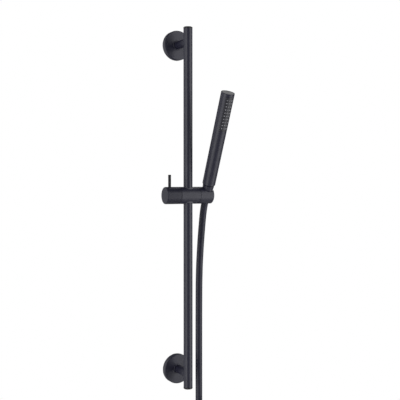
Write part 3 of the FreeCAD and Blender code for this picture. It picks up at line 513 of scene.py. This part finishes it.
def makeGrubScrew(side):
    low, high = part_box(f"{side}_grub_screw")
    middle = (low + high) / 2
    place = Matrix.Translation((middle.x, middle.y, low.z))
    radius, length = grubScrew["radius"], grubScrew["length"]
    screw = turnPiece(
        [(0, 0), (radius, 0, grubScrew["footEdge"]), (radius, length, grubScrew["topEdge"]), (0, length)],
        place, meshing["smallSides"],
    )
    socket = hexPiece(grubScrew["socket"], -grubScrew["cutOver"], grubScrew["socketDepth"], place)
    screw = combine(screw, socket, "DIFFERENCE")
    addPiece(f"{side}GrubScrew", screw, stampedSteel, "wall_rail", "bare_steel", f"{side}_grub_screw")


for side in brackets:
    makeRosette(side)
    makeArm(side)
    makeWallScrews(side)
    makeGrubScrew(side)
print("brackets made")


# slider: knob with its lever, body with a collar at each end of its bore, and the holder

slider = {
    "radius": 17.0, "half": 21.0, "knobEnd": 51.4, "holderEnd": 51.4,
    "seam": 0.3, "edge": 0.5, "endRound": 2.0,
    "spigot": 10.0, "spigotEnd": 34.0, "spigotEdge": 0.3,
    "recess": 10.3, "knobFloor": 37.0, "holderFloor": 24.1,
    "bore": 11.75, "boreReach": 40.0, "boreEdge": 0.25,
}
collar = {
    "inner": 9.3, "outer": 11.72, "start": 11.71, "round": 16.8, "roundReach": 30.0,
    "chamfer": 1.1, "edge": 0.1,
    "rimWithin": 0.1, "rimAbove": 0.5,  # the chamfered rim is this near the bore and this far up
}
lever = {"radius": 2.85, "place": 40.6, "foot": 4.0, "top": 41.0, "tip": 0.8}


def makeSlider():
    radius, half, edge = slider["radius"], slider["half"], slider["edge"]
    spigot, spigotEnd = slider["spigot"], slider["spigotEnd"]
    body = turnPiece(
        [
            (0, -spigotEnd), (spigot, -spigotEnd, slider["spigotEdge"]), (spigot, -half),
            (radius, -half, edge), (radius, half, edge), (0, half),
        ],
        acrossRail, meshing["sliderSides"],
    )
    reach = slider["boreReach"]
    bore = turnRod(
        slider["bore"], -reach, reach, Matrix.Translation(sliderAxis), meshing["largeSides"],
    )
    body = combine(body, bore, "DIFFERENCE")
    softenEdges(body, slider["boreEdge"])
    addPiece("sliderBody", body, powderCoat, "carriage", "matt_black", "carriage_body")

    end, floor, recess = slider["knobEnd"], slider["knobFloor"], slider["recess"]
    joint = half + slider["seam"]
    knob = turnPiece(
        [
            (0, -end), (radius, -end, slider["endRound"]), (radius, -joint, edge),
            (recess, -joint), (recess, -floor), (0, -floor),
        ],
        acrossRail, meshing["sliderSides"],
    )
    # the knob takes the deeper copy of the coat: painted shade on the slider's knob end
    addPiece("knob", knob, knobCoatPaintedShade, "clamp", "matt_black", "clamp_knob")

    thick, foot, top = lever["radius"], lever["foot"], lever["top"]
    pin = turnPiece(
        [(0, foot), (thick, foot), (thick, top, lever["tip"]), (0, top)],
        Matrix.Translation(sliderAxis - Vector((lever["place"] * mm, 0, 0))), meshing["smallSides"],
    )
    addPiece("leverPin", pin, blackOxideSteel, "clamp", "matt_black", "lever_pin")


def makeCollar(side, turn):
    inner, outer, start, end = collar["inner"], collar["outer"], collar["start"], slider["radius"]
    ring = turnPiece(
        [(inner, start), (outer, start), (outer, end), (inner, end)],
        upright, meshing["largeSides"], closed=True,
    )
    reach = collar["roundReach"]
    drum = turnRod(collar["round"], -reach, reach, turned(90, "Y"), meshing["sliderSides"])
    ring = combine(ring, drum, "INTERSECT")

    def innerRim(edge):
        widest = max(vert.co.xy.length for vert in edge.verts)
        lowest = min(vert.co.z for vert in edge.verts)
        return widest < (inner + collar["rimWithin"]) * mm and lowest > (start + collar["rimAbove"]) * mm

    softenEdges(ring, collar["chamfer"], innerRim, segments=1)
    softenEdges(ring, collar["edge"])
    ring.transform(Matrix.Translation(sliderAxis) @ turned(turn, "X"))
    # the collars' pale grey is partly painted highlight on the rim round the rail
    addPiece(f"{side}Collar", ring, acetalAndPaintedHighlight, "carriage", "black_plastic", f"bush_collar_{side}")


coneNut = {
    "top": 23.2, "topRadius": 11.6, "topEdge": 0.6,
    "bottom": 14.0, "bottomRadius": 8.65, "bottomEdge": 0.4,
    "bore": 9.83, "shoulder": 13.5, "throat": 7.03,
}
holder = {"seatGap": 0.12, "slot": 15.5, "mouthFloor": 12.0, "mouthGap": 1.0, "edge": 0.3}


def makeHolder():
    radius, end = slider["radius"], slider["holderEnd"]
    floor, recess = slider["holderFloor"], slider["recess"]
    joint = slider["half"] + slider["seam"]
    cradle = turnPiece(
        [
            (0, floor), (recess, floor), (recess, joint), (radius, joint, slider["edge"]),
            (radius, end, slider["endRound"]), (0, end),
        ],
        acrossRail, meshing["sliderSides"],
    )
    top, bottom = coneNut["top"], coneNut["bottom"]
    taper = (coneNut["topRadius"] - coneNut["bottomRadius"]) / (top + bottom)
    middle = coneNut["bottomRadius"] + bottom * taper + holder["seatGap"]
    reach = 2 * radius
    cone = turnPiece(
        [(0, -reach), (middle - reach * taper, -reach), (middle + reach * taper, reach), (0, reach)],
        alongSeat,
    )
    mouthRadius = middle + holder["mouthFloor"] * taper + holder["mouthGap"]
    mouth = turnRod(mouthRadius, holder["mouthFloor"], reach, alongSeat)
    outwards = Matrix.Translation((reach / 2 * mm, 0, 0))
    slot = boxPiece((reach, holder["slot"], 2 * reach), alongSeat @ outwards)
    for tool in (cone, mouth, slot):
        cradle = combine(cradle, tool, "DIFFERENCE")
    softenEdges(cradle, holder["edge"])
    addPiece("holderCradle", cradle, powderCoat, "holder", "matt_black", "holder_cradle")

    bore, shoulder, throat = coneNut["bore"], coneNut["shoulder"], coneNut["throat"]
    nut = turnPiece(
        [
            (throat, -bottom), (coneNut["bottomRadius"], -bottom, coneNut["bottomEdge"]),
            (coneNut["topRadius"], top, coneNut["topEdge"]), (bore, top),
            (bore, shoulder), (throat, shoulder),
        ],
        alongSeat, closed=True,
    )
    addPiece("coneNut", nut, powderCoat, "holder", "matt_black", "cone_nut")


makeSlider()
for side, turn in (("upper", 0), ("lower", 180)):
    makeCollar(side, turn)
makeHolder()
print("slider made")


# handset: tube, nozzle panel with pale tips whose paleness is partly painted highlight, lid

handset = {
    "start": 24.0, "end": 217.0, "footRadius": 13.05, "headRadius": 13.4,
    "chamfer": 1.5, "footEdge": 0.3, "chamferEdge": 0.4, "edge": 0.4, "windowEdge": 0.15,
    "rim": 1.2, "rimEdge": 0.2, "bore": 11.05, "stemHole": 7.98, "floor": 27.0,
    "lidThickness": 3.0, "lidSink": 0.3, "lidGap": 0.05, "lidEdge": 0.4,
}
panel = {
    "foot": 141.8, "top": 210.8, "angle": 74, "inner": 10.75, "edge": 0.25,
    "gap": 0.12, "angleGap": 1, "cutOver": 1.0,  # play in the window, and its cut past the wall
}
nozzle = {
    "rows": 10, "pitch": 6.33, "columns": 3, "columnAngle": 20, "sides": 16,
    "base": 1.3, "tip": 1.05, "hole": 0.5, "rise": 0.8, "sunk": 0.6, "foot": 0.1,
    "footEdge": 0.1, "tipEdge": 0.25, "holeEdge": 0.1,
    "fineShare": 0.8,  # the middle column has finer tips
}


def handsetRadius(height):
    share = (height - handset["start"]) / (handset["end"] - handset["start"])
    return handset["footRadius"] + (handset["headRadius"] - handset["footRadius"]) * share


def makeHandset():
    start, end, floor = handset["start"], handset["end"], handset["floor"]
    foot, head, bore, stem = (handset[size] for size in ("footRadius", "headRadius", "bore", "stemHole"))
    chamfer = handset["chamfer"]
    lidRadius = head - handset["rim"]
    lidTop = end - handset["lidSink"]
    lidSeat = lidTop - handset["lidThickness"]
    tube = turnPiece(
        [
            (stem, start), (foot - chamfer, start, handset["footEdge"]),
            (foot, start + chamfer, handset["chamferEdge"]), (head, end, handset["edge"]),
            (lidRadius, end, handset["rimEdge"]), (lidRadius, lidSeat), (bore, lidSeat),
            (bore, floor), (stem, floor),
        ],
        alongSeat, meshing["sliderSides"], closed=True,
    )
    low, high = panel["foot"] - panel["gap"], panel["top"] + panel["gap"]
    deep, proud = panel["inner"] - panel["cutOver"], head + panel["cutOver"]
    window = turnSector(
        [(deep, low), (proud, low), (proud, high), (deep, high)],
        panel["angle"] + panel["angleGap"], alongSeat,
    )
    tube = combine(tube, window, "DIFFERENCE")
    softenEdges(tube, handset["windowEdge"])
    addPiece("handsetTube", tube, powderCoat, "holder", "matt_black", "handset_tube")

    lidEnd = lidRadius - handset["lidGap"]
    lid = turnPiece(
        [(0, lidSeat), (lidEnd, lidSeat), (lidEnd, lidTop, handset["lidEdge"]), (0, lidTop)], alongSeat,
    )
    addPiece("handsetLid", lid, satinAbs, "holder", "black_plastic", "handset_lid")


def makePanel():
    foot, top, inner = panel["foot"], panel["top"], panel["inner"]
    section = [(inner, foot), (handsetRadius(foot), foot), (handsetRadius(top), top), (inner, top)]
    plate = turnSector(section, panel["angle"], alongSeat)
    softenEdges(plate, panel["edge"])
    addPiece("nozzlePanel", plate, satinAbs, "holder", "nozzle_silicone", "nozzle_panel")

    tips = bmesh.new()
    sunk, rise = -nozzle["sunk"], nozzle["rise"]
    margin = (top - foot - (nozzle["rows"] - 1) * nozzle["pitch"]) / 2
    for row in range(nozzle["rows"]):
        height = foot + margin + row * nozzle["pitch"]
        onSkin = Matrix.Translation((0, -handsetRadius(height) * mm, 0)) @ turned(90, "X")
        for column in range(nozzle["columns"]):
            fromMiddle = column - (nozzle["columns"] - 1) / 2
            share = 1 if fromMiddle else nozzle["fineShare"]
            base, point, hole = (nozzle[size] * share for size in ("base", "tip", "hole"))
            aside = turned(fromMiddle * nozzle["columnAngle"], "Z")
            inRow = Matrix.Translation((0, 0, height * mm)) @ aside
            tip = turnPiece(
                [
                    (0, sunk), (base, sunk), (base, nozzle["foot"], nozzle["footEdge"]),
                    (point, rise, nozzle["tipEdge"]), (hole, rise, nozzle["holeEdge"]),
                    (hole, 0), (0, 0),
                ],
                inRow @ onSkin, nozzle["sides"],
            )
            joinInto(tips, tip)
    tips.transform(alongSeat)
    # the tips' pale grey is partly painted highlight, the glints on the nubs
    addPiece("nozzleTips", tips, siliconeAndPaintedGlint, "holder", "nozzle_silicone")


makeHandset()
makePanel()
print("handset made")


# hose: one tube from the cone nut down the photograph's line and through the folds of its hank

hose = {  # in metres
    "diameter": 0.014,
    "length": 1.5,
    "route": [  # from the end of the cone nut to the top of the hank
        (0.0415, -0.05031, 0.01361),
        (0.0415, -0.0436, -0.00146),
        (0.0415, -0.0372, -0.033),
        (0.0415, -0.0304, -0.075),
        (0.0415, -0.0243, -0.130),
        (0.0415, -0.023, -0.200),
        (0.0415, -0.023, -0.395),
    ],
    "still": (0.0415, -0.0351, -0.047),  # below this point the tilting holder doesn't move it
    "foldRadius": 0.042,
    "upperFold": -0.444,  # heights of the two fold centres
    "lowerFold": -0.684,
    "end": -0.733,
    "foldSteps": 6,
    "sideStep": 0.007,  # each fold moves the hose sideways by this much
    "lineSteps": 16,
    "roundness": 12,
}


def hosePoints():
    points = list(hose["route"])
    x, y = points[-1][:2]
    middle = y - hose["foldRadius"]
    stepAngle = math.pi / hose["foldSteps"]
    reach = hose["foldRadius"] / math.cos(stepAngle / 2)
    for level, direction in ((hose["lowerFold"], -1), (hose["upperFold"], 1)):
        for step in range(hose["foldSteps"]):
            angle = (step + 0.5) * stepAngle
            x += hose["sideStep"] / hose["foldSteps"]
            points.append((
                x,
                middle - direction * reach * math.cos(angle),
                level + direction * reach * math.sin(angle),
            ))
    points.append((x, y, hose["end"]))
    return points


# lower end of the hose: crimped ferrule and union nut, and the tie round the folded strands

fitting = {
    "bore": 4.5, "ferrule": 8.2, "ferruleEnd": 24.0, "mouthRound": 0.5, "endRound": 0.6,
    "crimps": (5.0, 9.5, 14.0), "crimpDepth": 0.5, "crimpHalf": 1.2, "crimpFloor": 0.5, "crimpEdge": 0.2,
    "neck": 6.5, "neckEnd": 32.0, "flange": 9.5, "flangeEnd": 34.5, "flangeBack": 0.2, "flangeFront": 0.3,
}
union = {
    "width": 24.0, "start": 27.95, "end": 49.95, "chamfer": 1.6, "edge": 0.2, "cornerPlay": 0.02,
    "neckBore": 6.55, "shoulder": 31.95, "flangeBore": 9.8, "cutOver": 5.0,
    "threadStart": 36.5, "threadBore": 10.1, "threadTip": 9.5, "threadSunk": 0.1,
    "pitch": 1.8, "turns": 6, "turnSteps": 48,
    "ridgeShare": 0.4,  # half the foot of the ridge, as a share of the pitch
}
tie = {
    "thickness": 1.5, "edge": 0.3, "endFlat": 0.1, "endSteps": 12,
    "buckle": (9.0, 3.4, 14.0), "buckleRound": 0.6, "buckleSteps": 3,
    "tail": (18.0, 1.3, 10.0), "tailRound": 0.3, "tailAside": 0.35, "tailForward": 0.7,
}


def belowHank():
    low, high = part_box("end_ferrule")
    middle = (low + high) / 2
    return Matrix.Translation((middle.x, middle.y, high.z)) @ turned(180, "X")


def makeFerrule():
    bore, outside, end = fitting["bore"], fitting["ferrule"], fitting["ferruleEnd"]
    groove = outside - fitting["crimpDepth"]
    half, floor, edge = fitting["crimpHalf"], fitting["crimpFloor"], fitting["crimpEdge"]
    section = [(bore, 0), (outside, 0, fitting["mouthRound"])]
    for level in fitting["crimps"]:
        section += [
            (outside, level - half, edge), (groove, level - floor, edge),
            (groove, level + floor, edge), (outside, level + half, edge),
        ]
    neck, neckEnd = fitting["neck"], fitting["neckEnd"]
    flange, flangeEnd = fitting["flange"], fitting["flangeEnd"]
    section += [
        (outside, end, fitting["endRound"]), (neck, end), (neck, neckEnd),
        (flange, neckEnd, fitting["flangeBack"]), (flange, flangeEnd, fitting["flangeFront"]),
        (bore, flangeEnd),
    ]
    ferrule = turnPiece(section, belowHank(), closed=True)
    return addPiece("hoseFerrule", ferrule, powderCoat, "carriage", "matt_black", "end_ferrule")


def makeUnionNut():
    start, end, chamfer = union["start"], union["end"], union["chamfer"]
    corner = hexCorner(union["width"]) + union["cornerPlay"]
    chamfered = turnPiece(
        [
            (0, start), (corner - chamfer, start), (corner, start + chamfer / 2),
            (corner, end - chamfer / 2), (corner - chamfer, end), (0, end),
        ],
        upright,
    )
    nut = combine(hexPiece(union["width"], start, end, upright), chamfered, "INTERSECT")
    neck, flange, thread = union["neckBore"], union["flangeBore"], union["threadBore"]
    shoulder, threadStart, over = union["shoulder"], union["threadStart"], union["cutOver"]
    inside = turnPiece(
        [
            (0, start - over), (neck, start - over), (neck, shoulder), (flange, shoulder),
            (flange, threadStart), (thread, threadStart), (thread, end + over), (0, end + over),
        ],
        upright,
    )
    nut = combine(nut, inside, "DIFFERENCE")
    softenEdges(nut, union["edge"])
    joinInto(nut, threadRidge())
    nut.transform(belowHank())
    return addPiece("unionNut", nut, powderCoat, "hose_union", "matt_black", "union_nut")


def threadRidge():
    bm = bmesh.new()
    root = union["threadBore"] + union["threadSunk"]
    foot = union["threadStart"] + union["pitch"] / 2
    half = union["pitch"] * union["ridgeShare"]
    section = [(root, foot - half), (union["threadTip"], foot), (root, foot + half)]
    drawSection(bm, section, closed=True)
    bmesh.ops.spin(
        bm, geom=bm.verts[:] + bm.edges[:], cent=(0, 0, 0), axis=(0, 0, 1),
        angle=math.tau * union["turns"], steps=union["turnSteps"] * union["turns"],
        dvec=(0, 0, union["pitch"] / union["turnSteps"] * mm), use_merge=False,
    )
    bmesh.ops.holes_fill(bm, edges=bm.edges, sides=len(section))
    bmesh.ops.recalc_face_normals(bm, faces=bm.faces)
    return bm


def makeTie():
    low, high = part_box("hank_tie")
    size = [side / mm for side in high - low]
    middle = Matrix.Translation((low + high) / 2)

    def standing(edge):
        return abs(edge.verts[0].co.z - edge.verts[1].co.z) > mm

    def roundEnded(block):
        bm = boxPiece(block, middle)
        softenEdges(bm, block[1] / 2 - tie["endFlat"], standing, segments=tie["endSteps"])
        return bm

    inner = [size[0] - 2 * tie["thickness"], size[1] - 2 * tie["thickness"], 2 * size[2]]
    strap = combine(roundEnded(size), roundEnded(inner), "DIFFERENCE")
    softenEdges(strap, tie["edge"])
    front = Matrix.Translation(((low.x + high.x) / 2, low.y, (low.z + high.z) / 2))
    buckle = boxPiece(tie["buckle"], front)
    softenEdges(buckle, tie["buckleRound"], segments=tie["buckleSteps"])
    aside = Matrix.Translation((-tie["tail"][0] * tie["tailAside"] * mm, -tie["tailForward"] * mm, 0))
    tail = boxPiece(tie["tail"], front @ aside)
    softenEdges(tail, tie["tailRound"])
    for extra in (buckle, tail):
        joinInto(strap, extra)
    return addPiece("hankTie", strap, mouldedAbs, "carriage", "black_plastic", "hank_tie")


def makeHose():
    curve = bpy.data.curves.new("hoseLine", "CURVE")
    curve.dimensions = "3D"
    curve.resolution_u = hose["lineSteps"]
    spline = curve.splines.new("NURBS")
    points = hosePoints()
    spline.points.add(len(points) - 1)
    for point, place in zip(spline.points, points):
        point.co = (*place, 1)
    spline.order_u = 3
    spline.use_endpoint_u = True
    line = bpy.data.objects.new("hoseLine", curve)
    scene.collection.objects.link(line)
    bpy.context.view_layer.update()
    path = [v.co.copy() for v in bpy.data.meshes.new_from_object(line).vertices]
    curve.bevel_depth = hose["diameter"] / 2
    curve.bevel_resolution = hose["roundness"]
    curve.use_fill_caps = True
    bpy.context.view_layer.update()
    depsgraph = bpy.context.evaluated_depsgraph_get()
    tube = bpy.data.meshes.new_from_object(line.evaluated_get(depsgraph))
    bpy.data.objects.remove(line)
    piece = addPiece("hose", tube, extrudedPvc, None, "hose_skin", "hose_tube", "hose_hank")
    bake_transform(piece)
    makeTie()
    makeFerrule()
    makeUnionNut()


makeHose()
print("hose hung")


# camera: turned to the left and a little down, with a shift small enough for the other views

photo = {
    "turn": 27.5, "nod": 1.074, "distance": 1.5, "height": 0.058, "aside": 0.02395,
    "lens": 67.6, "sensor": 36, "shiftY": -0.016,
}


def placeCamera():
    turn = math.radians(photo["turn"])
    ahead = Vector((math.sin(turn), math.cos(turn), 0))
    right = Vector((math.cos(turn), -math.sin(turn), 0))
    cameraData = bpy.data.cameras.new("photoCamera")
    cameraData.lens = photo["lens"]
    cameraData.sensor_width = photo["sensor"]
    cameraData.shift_y = photo["shiftY"]
    camera = bpy.data.objects.new("photoCamera", cameraData)
    camera.location = railAxis - ahead * photo["distance"] + right * photo["aside"]
    camera.location.z = photo["height"]
    camera.rotation_euler = (math.pi / 2 - math.radians(photo["nod"]), 0, -turn)
    scene.collection.objects.link(camera)
    scene.camera = camera


placeCamera()


# pale floor under the hank, white surroundings and a soft panel on each side

studio = {
    "floorSize": 1.5, "floorGap": 0.004, "floorMiddle": -0.05,
    "white": (1, 1, 1, 1), "backdrop": 1.0,
    "roomGlow": 0.16,  # what the pale room throws back on the object
    # each panel: bearing right of the wall's normal, distance, middle's height, width, height, radiance
    "panels": [
        (-74, 1.7, 0.0, 1.4, 2.9, 2.1),
        (45, 1.7, -0.1, 1.65, 3.1, 2.1),
        (-140, 1.7, 0.15, 1.6, 2.6, 0.6),
        (120, 1.7, 1.5, 1.6, 1.2, 1.4),
    ],
}
# matt emulsion rolled on a board: pale and even, so the floor shows little but soft shade
paintedFloor = grainMaterial({
    "name": "paintedFloor", "darkTone": "#e9e8e5", "lightTone": "#ebeae7", "grainMm": 2, "cloudMm": 300,
    "roughness": 0.7, "roughnessSpread": 0.05, "bump": 0.02, "metallic": 0.0, "ior": 1.45,
})


def layFloor():
    bm = bmesh.new()
    bmesh.ops.create_grid(bm, x_segments=1, y_segments=1, size=studio["floorSize"] / 2)
    level = cadBox[0][2] - studio["floorGap"]
    bmesh.ops.translate(bm, verts=bm.verts, vec=(0, studio["floorMiddle"], level))
    mesh = bpy.data.meshes.new("floor")
    bm.to_mesh(mesh)
    bm.free()
    mesh.materials.append(paintedFloor)
    floor = bpy.data.objects.new("floor", mesh)
    scene.collection.objects.link(floor)


def hangPanels():
    for number, (bearing, distance, middle, width, height, radiance) in enumerate(studio["panels"]):
        turn = math.radians(bearing)
        lampData = bpy.data.lights.new(f"softPanel{number}", "AREA")
        lampData.shape = "RECTANGLE"
        lampData.size = width
        lampData.size_y = height
        lampData.energy = radiance * math.pi * width * height
        lamp = bpy.data.objects.new(f"softPanel{number}", lampData)
        lamp.location = railAxis + Vector((math.sin(turn), -math.cos(turn), 0)) * distance
        lamp.location.z = middle
        aim = railAxis + Vector((0, 0, middle)) - lamp.location
        lamp.rotation_euler = aim.to_track_quat("-Z", "Y").to_euler()
        lamp.visible_camera = False
        scene.collection.objects.link(lamp)


def whitenRoom():
    world = bpy.data.worlds.new("whiteRoom")
    world.use_nodes = True
    tree = world.node_tree
    tree.nodes.clear()
    rays = addNode(tree, "ShaderNodeLightPath")
    backdrop = addNode(tree, "ShaderNodeBackground", {
        "Color": studio["white"], "Strength": studio["backdrop"],
    })
    glow = addNode(tree, "ShaderNodeBackground", {
        "Color": studio["white"], "Strength": studio["roomGlow"],
    })
    room = addNode(tree, "ShaderNodeMixShader", {"Fac": rays.outputs["Is Camera Ray"]})
    tree.links.new(glow.outputs[0], room.inputs[1])
    tree.links.new(backdrop.outputs[0], room.inputs[2])
    addNode(tree, "ShaderNodeOutputWorld", {"Surface": room.outputs[0]})
    scene.world = world
    scene.view_settings.view_transform = "Standard"


layFloor()
hangPanels()
whitenRoom()
print("camera and studio set")
